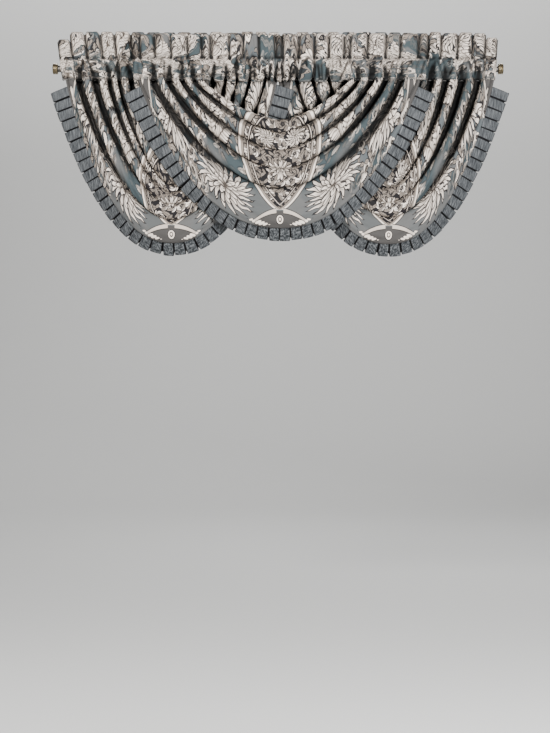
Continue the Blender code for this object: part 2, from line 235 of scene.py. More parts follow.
# One entry a valance: sizes in millimetres as the solids have them, tilts of the trim in radians,
# and how far up the cloth's pattern the heading begins
VALANCES = {
    "centre": {
        "centre": 8, "rod_front": 65, "rod_z": -20, "seam_z": -55, "stitch_z": 31, "top_z": 130,
        "top_ends": (-585, 600), "seam_ends": (-570, 584),
        "end_drops": (10, 10), "end_tilts": (0.20, 0.20),
        "folds": CENTRE_FOLDS, "columns": CENTRE_COLUMNS, "pattern_shift": 259, "seed": 11,
    },
    "left": {
        "centre": -424, "rod_front": 0, "rod_z": 0, "seam_z": -45, "stitch_z": 42, "top_z": 148,
        "top_ends": (-888, 10), "seam_ends": (-862, 10),
        "end_drops": (30, 4), "end_tilts": (0.20, -0.15),
        "folds": LEFT_FOLDS, "columns": LEFT_COLUMNS, "pattern_shift": 185, "seed": 12,
    },
    "right": {
        "centre": 440, "rod_front": 0, "rod_z": 0, "seam_z": -45, "stitch_z": 42, "top_z": 147,
        "top_ends": (12, 882), "seam_ends": (12, 868),
        "end_drops": (4, 20), "end_tilts": (0.25, 0.20),
        "folds": RIGHT_FOLDS, "columns": RIGHT_COLUMNS, "pattern_shift": 222, "seed": 13,
    },
}


# Cloth surfaces


def unit(values):
    return np.clip(values, 0.0, 1.0)


def half_line(reach, front, drop, low_front, powers, stations):
    """One half of a hanging fold line, from the seam to the centre line, at equal shares of its run."""
    angle = np.linspace(0.0, pi / 2, 481)
    across = reach * np.cos(angle) ** powers[0]
    down = drop * np.sin(angle) ** powers[1]
    forward = front + (low_front - front) * np.sin(angle) ** FORWARD_POWER
    run = np.concatenate([[0.0], np.cumsum(np.hypot(np.diff(across), np.diff(down)))])
    share = run / run[-1]
    return np.stack([np.interp(stations, share, values) for values in (across, forward, down)], axis=-1)


def fold_lines(valance, stations):
    """All fold lines of one drape as points (across, forward, up) in millimetres."""
    chance = random.Random(valance["seed"] + 200)
    drops = [row[FOLD_COLUMNS.index("drop")] for row in valance["folds"]]
    lines = []
    for row in valance["folds"]:
        fold = dict(zip(FOLD_COLUMNS, row))
        outward = (fold["drop"] - min(drops)) / (max(drops) - min(drops))
        powers = [top + (hem - top) * outward for top, hem in zip(TOP_POWERS, HEM_POWERS)]
        halves = []
        for side, sign in (("left", -1.0), ("right", 1.0)):
            reach, front = fold[side + "_reach"], fold[side + "_front"]
            half = half_line(reach, front, fold["drop"], fold["low_front"], powers, stations)
            half[:, 0] = valance["centre"] + sign * half[:, 0]
            half[:, 2] = valance["seam_z"] - half[:, 2]
            halves.append(half)
        line = np.concatenate([halves[0], halves[1][-2::-1]])
        if fold["kind"] in ("ridge", "valley"):
            share = np.linspace(0.0, 1.0, len(line))
            for axis, size in ((0, WANDER), (1, 0.7 * WANDER), (2, 0.5 * WANDER)):
                wave = np.zeros_like(share)
                for turns in (2, 4, 7):
                    pace = chance.uniform(0.6, 1.2) * turns
                    wave += np.sin(2 * pi * pace * share + chance.uniform(0.0, 2 * pi)) / turns
                line[:, axis] += size * 0.6 * wave * np.sin(pi * share) ** 0.6
        lines.append(line)
    return lines


def flank(start, end, start_kind, end_kind, steps, slit_share):
    """Rows of points between two fold lines, and the shade painted on each: steep walls at the sides,
    overlapping lips low down. Where slit_share is above 0 the valley narrows to a slit."""
    opens = start_kind in ("valley", "edge", "roll")
    lowness = np.sin(np.linspace(0.0, pi, len(start))) ** LIP_POWER
    rows, shades = [], []
    for step in range(1, steps + 1):
        share = step / steps
        part = share if opens else 1.0 - share
        lip_along = (1.0 - ROUNDING) * part + ROUNDING * (1.0 - np.cos(part * pi / 2))
        lip_rise = np.sin(part * pi / 2)
        if not opens:
            lip_along = 1.0 - lip_along
            lip_rise = 1.0 - lip_rise
        wall_along = share + STEEPNESS * np.sin(2 * pi * share) / (2 * pi)
        wall_rise = 0.5 - 0.5 * np.cos(pi * share)
        along = wall_along + (lip_along - wall_along) * lowness
        if start_kind == "valley":
            along = along ** (1.0 + slit_share)
        elif end_kind == "valley":
            along = 1.0 - (1.0 - along) ** (1.0 + slit_share)
        rise = wall_rise + (lip_rise - wall_rise) * lowness
        row = start + (end - start) * along[:, None]
        row[:, 1] = start[:, 1] + (end[:, 1] - start[:, 1]) * rise
        if start_kind == "ridge" and end_kind == "valley":
            fall = np.clip(start[:, 1] - end[:, 1], 0.0, None)
            row[:, 2] -= LOW_FLANK_SAG * fall * np.sin(share * pi) * lowness ** 0.7
        rows.append(row)
        # Painted shade, darkest at the valley floors, laid over the real shadow of the fold
        depth = 1.0 - rise if opens else rise
        reaches_valley = start_kind == "valley" or end_kind == "valley"
        dark = 1.0 - (1.0 - depth ** (1.3 + 1.5 * lowness)) ** 1.6
        shades.append(reaches_valley * dark * (1.0 - 0.15 * lowness))
    return rows, shades


def flat_places(points):
    """How far each point lies along the cloth from the centre line, and up from the hem."""
    steps = np.linalg.norm(np.diff(points, axis=1), axis=2)
    along = np.concatenate([np.zeros((len(points), 1)), np.cumsum(steps, axis=1)], axis=1)
    along -= along[:, [points.shape[1] // 2]]
    steps = np.linalg.norm(np.diff(points[::-1], axis=0), axis=2)
    up = np.concatenate([np.zeros((1, points.shape[1])), np.cumsum(steps, axis=0)])[::-1]
    return along, up


def normals_of(points):
    across = np.gradient(points, axis=1)
    down = np.gradient(points, axis=0)
    normal = np.cross(across, down)
    normal /= np.linalg.norm(normal, axis=2)[..., None] + 1e-9
    return normal


def waves(chance, first, second, count, first_sizes, second_sizes):
    """A sum of sine waves over two distances in millimetres, about one in size."""
    total = np.zeros_like(first)
    for _ in range(count):
        turn_first = 2 * pi / chance.uniform(*first_sizes) * chance.choice((-1.0, 1.0))
        turn_second = 2 * pi / chance.uniform(*second_sizes)
        total += np.sin(turn_first * first + turn_second * second + chance.uniform(0.0, 2 * pi))
    return total / count ** 0.5


def drape(valance):
    """The draped body in millimetres, its flat places and its shades: top edge first, hem last."""
    chance = random.Random(valance["seed"] + 300)
    lines = fold_lines(valance, np.linspace(0.0, 1.0, HALF_STATIONS + 1))
    kinds = [row[0] for row in valance["folds"]]
    rows, shades = [lines[0]], [np.zeros(len(lines[0]))]
    for index in range(len(lines) - 1):
        steps = EDGE_STEPS if kinds[index] == "edge" else FLANK_STEPS
        first, second = lines[index], lines[index + 1]
        slit_share = in_gap((first + second) / 2) * (valance["rod_front"] == 0.0)
        more_rows, more_shades = flank(first, second, kinds[index], kinds[index + 1], steps, slit_share)
        rows += more_rows
        shades += more_shades
    points, shades = np.array(rows), np.array(shades)
    if valance["rod_front"] == 0.0:
        gap = in_gap(points)
        on_ridge = unit((points[..., 1] + 18.0) / 30.0)
        points[..., 1] += GAP_FORWARD * gap * (1.5 - 0.5 * on_ridge)
        # Painted valley shade, narrowed inside the cowl's opening where the gathers come forward
        shades = shades ** (1.0 + GAP_SHADE * gap)
    along, up = flat_places(points)
    from_seam = np.minimum(along - along[:, :1], along[:, -1:] - along)
    normal = normals_of(points)
    gathers = GATHER_DEPTH * np.exp(-from_seam / GATHER_FADE)
    gathers = gathers * waves(chance, from_seam, up, 3, (300, 600), (15, 27))
    ripples = RIPPLE_DEPTH * waves(chance, along, up, 5, (110, 320), (28, 60))
    creases = CREASE_DEPTH * np.maximum(0.0, waves(chance, along, up, 4, (60, 170), (12, 24)) - 0.75)
    lift = gathers + (ripples - creases) * unit(from_seam / 60.0)
    edge_fade = np.minimum(1.0, np.minimum(up, up[:1] - up) / 14.0)
    points = points + normal * (lift * edge_fade)[..., None]
    return points, along, up, shades


def in_gap(points):
    """How far each point of a side valance lies inside the opening of the middle one's cowl, 0 to 1."""
    middle = VALANCES["centre"]
    open_share = unit(1.0 - (middle["seam_z"] - points[..., 2]) / GAP_DEPTH)
    half_width = GAP_HALF_WIDTH * open_share ** 0.7
    inside = unit((half_width - np.abs(points[..., 0] - middle["centre"])) / 45.0)
    below_rod = unit((-15.0 - points[..., 2]) / 45.0)
    return inside * below_rod


def tucked(points):
    """The body with one more point at each end of a row, tucked up inside the heading's seam."""
    ends = []
    for column in (0, -1):
        end = points[:, [column]].copy()
        end[..., 2] += TUCK
        ends.append(end)
    return np.concatenate([ends[0], points, ends[1]], axis=1)


def to_metres(points):
    """(across, forward, up) in millimetres to x, y, z in metres."""
    return np.stack([points[..., 0], -points[..., 1], points[..., 2]], axis=-1) * MM


def column_stations(widths, chance):
    """Slits and shoulders of the gathered columns: place in millimetres, puff, scallop, crumple."""
    stations = []
    place = 0.0
    for width in widths:
        fullness = min(1.0, width / FULL_COLUMN) * chance.uniform(0.85, 1.12)
        height = chance.uniform(-5.0, 1.5) - (2.5 if width < NARROW_COLUMN else 0.0)
        stations.append((place, 0.0, -SCALLOP, chance.uniform(-1.0, 0.0)))
        shoulders = (0.5,) if width < NARROW_COLUMN else (SLIT_SHOULDER, 1.0 - SLIT_SHOULDER)
        for shoulder in shoulders:
            puff = fullness * chance.uniform(0.9, 1.1)
            stations.append((place + shoulder * width, puff, height, chance.uniform(0.2, 1.0)))
        place += width
    stations.append((place, 0.0, -SCALLOP, 0.0))
    return np.array(stations)


def fine_stations(stations):
    """Stations between the slits and shoulders, round at the shoulders and tight in the slits."""
    fine = [stations[0]]
    for first, second in zip(stations, stations[1:]):
        opens, closes = first[1] == 0.0, second[1] == 0.0
        steps = 6 if opens or closes else 9
        for step in range(1, steps + 1):
            share = step / steps
            if opens:
                rise = sin(share * pi / 2) ** 1.5
            elif closes:
                rise = 1.0 - sin((1.0 - share) * pi / 2) ** 1.5
            else:
                rise = 0.5 - 0.5 * cos(pi * share)
            row = first + (second - first) * rise
            row[0] = first[0] + (second[0] - first[0]) * share
            if not opens and not closes:
                row[1] += 0.22 * sin(pi * share)
            fine.append(row)
    return np.array(fine)


def spline_rows(rows, steps):
    """Smooth rows through the given rows, by Catmull-Rom."""
    rows = np.array(rows)
    padded = np.concatenate([[2 * rows[0] - rows[1]], rows, [2 * rows[-1] - rows[-2]]])
    fine = [rows[0]]
    for index in range(len(rows) - 1):
        a, b, c, d = padded[index : index + 4]
        for step in range(1, steps + 1):
            t = step / steps
            curve = 2 * b + (c - a) * t + (2 * a - 5 * b + 4 * c - d) * t ** 2
            fine.append(0.5 * (curve + (3 * b - a - 3 * c + d) * t ** 3))
    return np.array(fine)


def heading(valance, seam_row, seam_shades):
    """The folded heading strip: up the front, over the top and down the back, in millimetres."""
    stations = fine_stations(column_stations(valance["columns"], random.Random(valance["seed"])))
    chance = random.Random(valance["seed"] + 400)
    share = stations[:, 0] / stations[-1, 0]
    puff, scallop, crumple = stations[:, 1] * PUFF, stations[:, 2], stations[:, 3]
    for end, drop in zip((0, -1), valance["end_drops"]):
        edge = 0.0 if end == 0 else 1.0
        width = valance["columns"][end] / stations[-1, 0]
        scallop = np.where(np.abs(share - edge) < width * 0.97, scallop - drop, scallop)
    seam_x = valance["seam_ends"][0] + share * (valance["seam_ends"][1] - valance["seam_ends"][0])
    rod, rod_z, stitch = valance["rod_front"], valance["rod_z"], valance["stitch_z"]
    seam, top = valance["seam_z"], valance["top_z"]
    seam_front = np.interp(seam_x, seam_row[:, 0], seam_row[:, 1])
    edge = dict(zip(FOLD_COLUMNS, valance["folds"][0]))
    from_middle = seam_x - valance["centre"]
    mouth = unit((from_middle + edge["left_reach"] - MOUTH_EASE) / MOUTH_FADE)
    mouth *= unit((edge["right_reach"] - MOUTH_EASE - from_middle) / MOUTH_FADE)
    seam_front = rod + SEAM_FOLD_SHARE * (seam_front - rod) * (1.0 - mouth) - MOUTH_SET_BACK * mouth
    slit_lines = mouth_slits(valance, chance)
    notches = -MOUTH_DIP * mouth
    for line in slit_lines:
        nearness = unit(1.0 - np.abs(seam_x - line) / NOTCH_HALF_WIDTH)
        notches = notches + NOTCH_HEIGHT * mouth * nearness
    height = top - stitch
    flat = np.zeros_like(share)
    rows = (
        (seam + notches, seam_front + SEAM_HALF_GAP),
        (rod_z - 18.0 + flat, rod + 0.72 * POCKET_BULGE + 0.35 * (seam_front - rod)),
        (rod_z + 4.0 + flat, rod + POCKET_BULGE + POCKET_CRUMPLE * crumple),
        (stitch - 14.0 + flat, rod + 0.62 * POCKET_BULGE + 0.15 * puff),
        (stitch + flat, rod + STITCH_HALF_GAP + 0.12 * puff),
        *((stitch + up * (height + scallop), rod + LIP_HALF_GAP + out * puff) for up, out in RUFFLE_FRONT),
        (stitch + height + scallop, rod + flat),
        (stitch + 0.93 * (height + scallop), rod - LIP_HALF_GAP - 0.88 * puff),
        (stitch + 0.45 * (height + scallop), rod - LIP_HALF_GAP - 0.9 * puff),
        (stitch + flat, rod - STITCH_HALF_GAP - 0.12 * puff),
        (rod_z + flat, rod - POCKET_BULGE - POCKET_CRUMPLE * crumple),
        (seam + notches, seam_front - SEAM_HALF_GAP),
    )
    points = []
    for up, front in rows:
        rise = (up - seam) / (top - seam)
        starts = valance["seam_ends"][0] + rise * (valance["top_ends"][0] - valance["seam_ends"][0])
        ends = valance["seam_ends"][1] + rise * (valance["top_ends"][1] - valance["seam_ends"][1])
        points.append(np.stack([starts + share * (ends - starts), front, up], axis=-1))
    points = spline_rows(points, PROFILE_STEPS)
    x, z = points[..., 0], points[..., 2]
    is_front = np.arange(len(points))[:, None] <= 9 * PROFILE_STEPS
    outward = np.where(is_front, 1.0, -1.0)
    near_stitch = bell(z - stitch, 8.0)
    in_ruffle = unit((z - stitch) / 16.0)
    in_ruffle = in_ruffle * unit((stitch + 0.97 * height - z) / 20.0)
    lift = near_stitch * waves(chance, z, x, 3, (60, 120), (9, 15))
    lift += in_ruffle * waves(chance, z, x, 4, (120, 300), (14, 34)) * 1.4
    creases = pocket_creases(valance, chance, x, z, mouth[None, :], slit_lines)
    lift += creases
    depth = (points[..., 1] - rod) * outward + lift
    over_rod = np.sqrt(np.clip(ROD_CLEARANCE ** 2 - (z - rod_z) ** 2, 0.0, None))
    in_pocket = (z < stitch - 6.0) & (z > seam + 3.0)
    depth = np.where(in_pocket, np.maximum(depth, np.maximum(over_rod, 2.0)), depth)
    points[..., 1] = rod + depth * outward
    # Painted shade in the slits between the columns, along the stitched crease and in deep pocket creases
    slits = unit(1.0 - (puff / PUFF)[None, :] * 1.2) ** 0.9
    slits = slits * unit((z - stitch + 6.0) / 10.0)
    stitch_shade = np.clip(0.55 + 0.35 * waves(chance, x, z, 3, (18, 40), (60, 120)), 0.0, 0.8) * near_stitch
    shades = slits + stitch_shade + unit(-creases / 9.0 - 0.10)
    # Painted shade of the body's valleys, carried up into the pocket as narrowing wedges
    wedge = unit(1.0 - (z - seam) / 68.0)
    valleys = np.interp(seam_x, seam_row[:, 0], seam_shades)[None, :]
    shades = np.maximum(shades, valleys ** (1.0 + 3.0 * (1.0 - wedge)) * wedge ** 0.6)
    return points, unit(shades)


def mouth_slits(valance, chance):
    """Where slits run up the rod pocket over the open cowl, in line with the gathers behind it."""
    if valance["rod_front"] == 0.0:
        return [valance["centre"] + place + chance.uniform(-8.0, 8.0) for place in BACK_SLITS]
    lines = []
    for other, side, sign in (("left", "right_reach", 1.0), ("right", "left_reach", -1.0)):
        for row in VALANCES[other]["folds"]:
            fold = dict(zip(FOLD_COLUMNS, row))
            if fold["kind"] == "valley":
                lines.append(VALANCES[other]["centre"] + sign * fold[side])
    return lines + list(FRONT_SLITS)


def bell(distance, width):
    return np.exp(-((distance / width) ** 2))


def pocket_creases(valance, chance, x, z, mouth, slit_lines):
    """Irregular upright creases in the rod pocket, and the folds' valleys that run up into it."""
    stitch, seam = valance["stitch_z"], valance["seam_z"]
    lift = np.zeros_like(x)
    place = x.min() + 8.0
    while place < x.max() - 6.0:
        depth, width = chance.uniform(4.0, 11.0), chance.uniform(3.5, 6.5)
        slant = chance.uniform(-0.45, 0.45)
        top = stitch - (chance.uniform(0.0, 4.0) if chance.random() < 0.7 else chance.uniform(10.0, 40.0))
        foot = seam - 10.0 if chance.random() < 0.6 else seam + chance.uniform(10.0, 45.0)
        window = unit((top - z) / 12.0) * unit((z - foot) / 12.0)
        line = place + slant * (z - (stitch + seam) / 2)
        lift -= depth * bell(x - line, width) * window
        place += chance.uniform(12.0, 27.0)
    for spot in slit_lines:
        line = spot + chance.uniform(-0.2, 0.2) * (z - seam)
        window = unit((seam + chance.uniform(62.0, 80.0) - z) / 30.0) * mouth
        lift -= SLIT_DEPTH * bell(x - line, SLIT_WIDTH) * window
    for row in valance["folds"]:
        fold = dict(zip(FOLD_COLUMNS, row))
        for side, sign in (("left", -1.0), ("right", 1.0)):
            lean = chance.uniform(-0.1, 0.25) * (z - seam)
            line = valance["centre"] + sign * (fold[side + "_reach"] + lean)
            window = unit((seam + chance.uniform(60.0, 80.0) - z) / 34.0)
            if fold["kind"] == "valley":
                lift -= VALLEY_DEPTH * bell(x - line, VALLEY_WIDTH) * window
            elif fold["kind"] == "ridge":
                lift += RIDGE_HEIGHT * bell(x - line, RIDGE_WIDTH) * window
    return lift


def at_place(place, run, values):
    return np.array([np.interp(place, run, values[:, axis]) for axis in range(3)])


def trim(valance, hem):
    """The knife-pleated strip that carries the body's surface on past the hem, in metres."""
    chance = random.Random(valance["seed"] + 100)
    run = np.concatenate([[0.0], np.cumsum(np.linalg.norm(np.diff(hem, axis=0), axis=1))])
    tangent = np.gradient(hem, run, axis=0)
    outward = np.stack([tangent[:, 2], np.zeros(len(hem)), -tangent[:, 0]], axis=-1)
    outward *= -np.sign(outward[len(hem) // 2, 2])
    outward /= np.linalg.norm(outward, axis=1)[:, None]
    pleats = round((run[-1] - 2 * TRIM_START) / PLEAT_PITCH)
    pitch = (run[-1] - 2 * TRIM_START) / pleats
    rows = np.linspace(0.0, 1.0, TRIM_ROWS + 1)
    columns = []
    for index in range(pleats):
        start = TRIM_START + pitch * index
        begin = start + (chance.uniform(-0.05, 0.05) * pitch if index else 0.0)
        width_change = chance.uniform(-1.5, 1.5) * MM
        tilt_change = chance.uniform(-0.03, 0.03)
        lift_change = chance.uniform(0.8, 1.15)
        splay = chance.uniform(-0.04, 0.04)
        for share, level in PLEAT_FACE:
            place = begin + share * (start + pitch - begin)
            point, out, going = (at_place(place, run, values) for values in (hem, outward, tangent))
            lowness = sin(pi * place / run[-1]) ** TRIM_TILT_POWER
            end = max(0.0, 1.0 - min(place, run[-1] - place) / (4 * pitch))
            out = out + np.array([0.0, 0.0, -END_DROOP * end])
            out /= np.linalg.norm(out)
            end_tilt = valance["end_tilts"][0 if place < run[-1] / 2 else 1]
            tilt = end_tilt + (LOW_TILT - end_tilt) * lowness + tilt_change
            width = TRIM_WIDTH[0] + (TRIM_WIDTH[1] - TRIM_WIDTH[0]) * end + width_change
            down = out * cos(tilt) + np.array([0.0, sin(tilt), 0.0])
            toward = np.array([0.0, -cos(tilt), 0.0]) + out * sin(tilt)
            sizes = GROOVE_DEPTH if level < 0.0 else PLEAT_LIFT
            lift = level * (sizes[0] + (sizes[1] - sizes[0]) * rows) * (1.0 if level < 0.0 else lift_change)
            lift = lift + 1.2 * MM * np.sin(pi * rows)
            length = width * rows * (1.0 - 0.035 * max(0.0, -level))
            start_point = point + out * TRIM_GAP - toward * TRIM_BEHIND
            column = start_point + down * length[:, None] + toward * lift[:, None]
            columns.append(column + going * (splay * width * rows ** 2)[:, None])
    return np.array(columns).transpose(1, 0, 2)


def add_mesh(name, bm, materials):
    """An object of the finished bmesh in the scene."""
    mesh = bpy.data.meshes.new(name)
    bm.to_mesh(mesh)
    bm.free()
    for material in materials:
        mesh.materials.append(material)
    piece = bpy.data.objects.new(name, mesh)
    bpy.context.scene.collection.objects.link(piece)
    return piece


def add_sheet(name, points, places, shades, materials, thickness, turned=False):
    """A sheet through rows of points in metres, with flat cloth places as its UV map."""
    rows, columns = points.shape[:2]
    bm = bmesh.new()
    bmesh.ops.create_grid(bm, x_segments=columns - 1, y_segments=rows - 1, size=1.0)
    layer = bm.loops.layers.uv.new("cloth")
    # The fold attribute holds painted shade: the materials darken valleys, slits and grooves by it
    fold = bm.verts.layers.float.new("fold")
    spots = {}
    for vertex in bm.verts:
        column = round((vertex.co.x + 1.0) * 0.5 * (columns - 1))
        row = round((vertex.co.y + 1.0) * 0.5 * (rows - 1))
        spots[vertex.index] = (row, column)
        vertex.co = points[row, column]
        vertex[fold] = shades[row, column]
    for face in bm.faces:
        face.smooth = True
        for loop in face.loops:
            row, column = spots[loop.vert.index]
            loop[layer].uv = (places[0][row, column], places[1][row, column])
    if turned:
        bmesh.ops.reverse_faces(bm, faces=bm.faces)
    piece = add_mesh(name, bm, materials)
    thicken = piece.modifiers.new("Thickness", "SOLIDIFY")
    thicken.thickness = thickness
    thicken.offset = 0.0
    thicken.material_offset = len(materials) - 1
    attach(piece, "root")
    return piece


# Materials


class Graph:
    """Short hands for building a material's nodes."""

    def __init__(self, name):
        self.material = bpy.data.materials.new(name)
        self.material.use_nodes = True
        self.tree = self.material.node_tree
        self.shader = self.tree.nodes["Principled BSDF"]

    def put(self, socket, value):
        if isinstance(value, bpy.types.NodeSocket):
            self.tree.links.new(value, socket)
        elif isinstance(value, Term):
            self.tree.links.new(value.socket, socket)
        else:
            socket.default_value = value

    def node(self, kind, outlet=0, settings=(), **inputs):
        """A node's outlet, given by number or name."""
        made = self.tree.nodes.new(kind)
        for key, value in dict(settings).items():
            setattr(made, key, value)
        for key, value in inputs.items():
            self.put(made.inputs[key.replace("_", " ")], value)
        return made.outputs[outlet]

    def math(self, operation, *values, clamp=False):
        made = self.tree.nodes.new("ShaderNodeMath")
        made.operation = operation
        made.use_clamp = clamp
        for socket, value in zip(made.inputs, values):
            self.put(socket, value)
        return Term(self, made.outputs[0])

    def vector(self, operation, *values):
        made = self.tree.nodes.new("ShaderNodeVectorMath")
        made.operation = operation
        for socket, value in zip(made.inputs, values):
            self.put(socket, value)
        return made.outputs[0]

    def pair(self, kind, **inputs):
        """The first two outlets of a node, as numbers."""
        outlets = self.node(kind, **inputs).node.outputs
        return Term(self, outlets[0]), Term(self, outlets[1])

    def cloth_places(self):
        """Metres along the cloth from the centre line, and up from the hem."""
        return self.node("ShaderNodeUVMap", settings={"uv_map": "cloth"})

    def noise(self, place, scale, detail, outlet=0):
        settings = {"noise_dimensions": "2D"}
        made = self.node("ShaderNodeTexNoise", outlet, settings, Vector=place, Scale=scale, Detail=detail)
        return Term(self, made)

    def paint(self, colour, roughness):
        self.put(self.shader.inputs["Base Color"], colour)
        self.put(self.shader.inputs["Roughness"], roughness)

    def bump(self, height, strength, distance):
        made = self.node("ShaderNodeBump", Strength=strength, Distance=distance, Height=height)
        self.put(self.shader.inputs["Normal"], made)

    def mix(self, share, first, second):
        made = self.tree.nodes.new("ShaderNodeMix")
        made.data_type = "RGBA"
        self.put(made.inputs["Factor"], share)
        for socket, value in zip((made.inputs[6], made.inputs[7]), (first, second)):
            self.put(socket, (*value, 1.0) if isinstance(value, tuple) and len(value) == 3 else value)
        return made.outputs[2]


class Term:
    """A number in a material, with ordinary arithmetic."""

    def __init__(self, graph, socket):
        self.graph, self.socket = graph, socket

    def __add__(self, other):
        return self.graph.math("ADD", self, other)

    def __sub__(self, other):
        return self.graph.math("SUBTRACT", self, other)

    def __rsub__(self, other):
        return self.graph.math("SUBTRACT", other, self)

    def __mul__(self, other):
        return self.graph.math("MULTIPLY", self, other)

    def __pow__(self, power):
        return self.graph.math("POWER", self, power)

    def __abs__(self):
        return self.graph.math("ABSOLUTE", self)

    def __truediv__(self, other):
        return self.graph.math("DIVIDE", self, other)


def cover(amount, soft):
    """0 where the amount is negative, 1 where it is positive, with a soft border."""
    return amount.graph.math("MULTIPLY_ADD", amount, 1.0 / soft, 0.5, clamp=True)


def band(distance, half, soft=1.2):
    """1 within half of a line."""
    return cover(half - abs(distance), soft)


def painted_fold_shade(graph):
    """Painted shade from the fold attribute, from 0 on a ridge to 1 at the bottom of a valley."""
    settings = {"attribute_name": "fold"}
    return Term(graph, graph.node("ShaderNodeAttribute", outlet=2, settings=settings))


def flower(graph, x, z, spot, sizes, turn, rings, swirl, under):
    """A feathery flower of long pointed petals in rings, the outer ring first; the colour with it laid on."""
    dx, dz = x - spot[0], z - spot[1]
    u = (dx * cos(turn) + dz * sin(turn)) / sizes[0]
    v = (dz * cos(turn) - dx * sin(turn)) / sizes[1]
    radius = graph.math("SQRT", u * u + v * v)
    angle = graph.math("ARCTAN2", v, u) + radius * swirl
    colour = under
    for size, petals, phase in rings:
        uneven = graph.math("SINE", angle * 3.0 + phase * 9.0) * 0.10 + 1.0
        share = radius / (uneven * size)
        off = abs(graph.math("FRACT", angle * (petals / (2 * pi)) + phase) - 0.5)
        inside = 0.5 - share * share * share * share * 0.5 - off
        shade = graph.math("SUBTRACT", share * 1.5, off * 0.9 + 0.10, clamp=True)
        rib = cover(0.05 - off, 0.05) * cover(0.75 - share, 0.3) * 0.6
        colour = graph.mix(cover(inside, 0.06), colour, CHARCOAL)
        petal = graph.mix(graph.math("SUBTRACT", shade, rib, clamp=True), TAUPE, CREAM)
        colour = graph.mix(cover(inside - 0.15, 0.08), colour, petal)
    return colour


def scattered(graph, flat, cell, seed):
    """Places within scattered cells, in cell widths, with two numbers that differ from cell to cell."""
    steps = (PER_METRE / cell, PER_METRE / cell, 0.0)
    spread = graph.vector("MULTIPLY_ADD", flat, steps, (seed, seed * 0.7, 0.0))
    cells = {"voronoi_dimensions": "2D"}
    place = graph.node("ShaderNodeTexVoronoi", "Position", cells, Vector=spread, Scale=1.0, Randomness=0.85)
    apart = graph.pair("ShaderNodeSeparateXYZ", Vector=graph.vector("SUBTRACT", spread, place))
    return apart + graph.pair("ShaderNodeSeparateColor", Color=place.node.outputs["Color"])


def florets(graph, flat, cell, seed):
    """Small curling flowers: their cover, how light each petal is, and a number for each flower."""
    dx, dz, chance, other = scattered(graph, flat, cell, seed)
    radius = graph.math("SQRT", dx * dx + dz * dz)
    angle = graph.math("ARCTAN2", dz, dx) + chance * 6.0 + radius * 5.0
    lobe = abs(graph.math("COSINE", angle * 2.5))
    edge = lobe ** 0.6 * 0.26 + 0.22
    ring = cover(0.045 - abs(radius - 0.13), 0.03)
    petals = cover(edge - radius, 0.05)
    shade = graph.math("SUBTRACT", lobe * (radius * 3.0 + 0.1), ring * 0.7)
    return petals, graph.math("MAXIMUM", graph.math("MINIMUM", shade, 1.0), 0.0), other


def leaves(graph, flat, cell, length, width, seed):
    """Small leaves turned every way: cover, cover with an outline, vein, and a number for each leaf."""
    dx, dz, chance, other = scattered(graph, flat, cell, seed)
    turn = chance * (2 * pi)
    sine, cosine = graph.math("SINE", turn), graph.math("COSINE", turn)
    along = (dx * cosine + dz * sine) * (cell / length)
    across = (dz * cosine - dx * sine) * (cell / width) + along * along * 0.5 - 0.12
    rim = 1.0 - along * along
    serrated = graph.math("COSINE", along * 19.0) * 0.10 + 0.90
    side = abs(across)
    inside = rim * serrated - side
    vein = cover(0.10 - side, 0.08)
    return cover(inside, 0.12), cover(inside + 0.62, 0.16), vein, other


def feather(graph, x, z, spot, turn, sizes, barbs, under):
    """A long leaf with a midrib and slanting barbs, its edge cut by them; the colour with it laid on."""
    dx, dz = x - spot[0], z - spot[1]
    along = (dx * cos(turn) + dz * sin(turn)) / sizes[0]
    across = (dz * cos(turn) - dx * sin(turn)) / sizes[1] + along * along * 0.5 - 0.2
    side = abs(across)
    slant = abs(graph.math("SINE", (along * barbs + side * -1.1) * pi))
    belly = graph.math("MAXIMUM", along * (1.0 - along) * 4.0, 0.0) ** 0.55
    rim = belly * (slant ** 0.6 * 0.42 + 0.60) - side
    shade = slant ** 0.8 * graph.math("MULTIPLY_ADD", side, 0.5, 0.62)
    shade = graph.math("SUBTRACT", shade, cover(0.055 - side, 0.04) * 0.6, clamp=True)
    colour = graph.mix(cover(rim + belly * 0.36 - 0.10, 0.08), under, CHARCOAL)
    return graph.mix(cover(rim - 0.04, 0.08), colour, graph.mix(shade, TAUPE, CREAM))


def compartment(graph, x, z):
    """Signed distance past the straps, which meet in a point low down and widen upwards."""
    rise = graph.math("SINE", (z - 78.0) * (pi / PATTERN_REPEAT[1]))
    strap = graph.math("MAXIMUM", rise, 0.0) ** 0.72 * 168.0
    strap = strap - cover(rise * -1.0, 0.02) * 60.0
    return (x - strap) * 0.8


